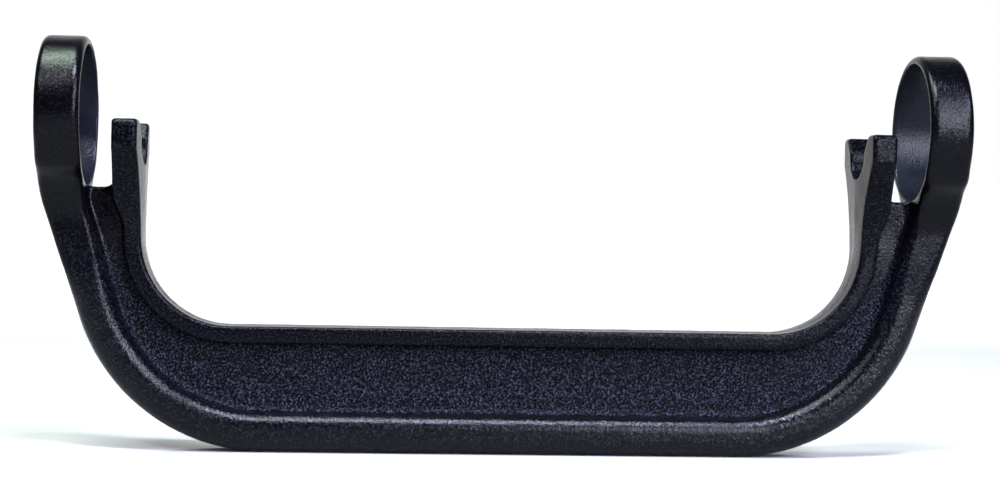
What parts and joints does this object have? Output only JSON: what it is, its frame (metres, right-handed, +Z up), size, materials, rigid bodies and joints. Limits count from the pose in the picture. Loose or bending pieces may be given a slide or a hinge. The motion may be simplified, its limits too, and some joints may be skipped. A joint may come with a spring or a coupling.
{
  "type": "ladder stabilizer yoke",
  "caption": "Wide U-shaped cast yoke: an I-section crossbar and two upright arms, each ending in a large ring eye beside an open slotted fork plate.",
  "frame": {"origin": "middle of the crossbar's underside, centred between the eyes and between front and back", "axes": "+X to the right along the crossbar and the eye bores, +Y to the back, +Z up towards the eyes"},
  "size_m": [0.2792, 0.0476, 0.1247],
  "materials": {
    "black_casting": "semi-gloss black paint over a grainy cast surface"
  },
  "bodies": {
    "root": {"crossbar": "black_casting", "left_corner": "black_casting", "left_arm": "black_casting", "left_eye": "black_casting", "left_fork": "black_casting", "right_corner": "black_casting", "right_arm": "black_casting", "right_eye": "black_casting", "right_fork": "black_casting"}
  },
  "joints": []
}
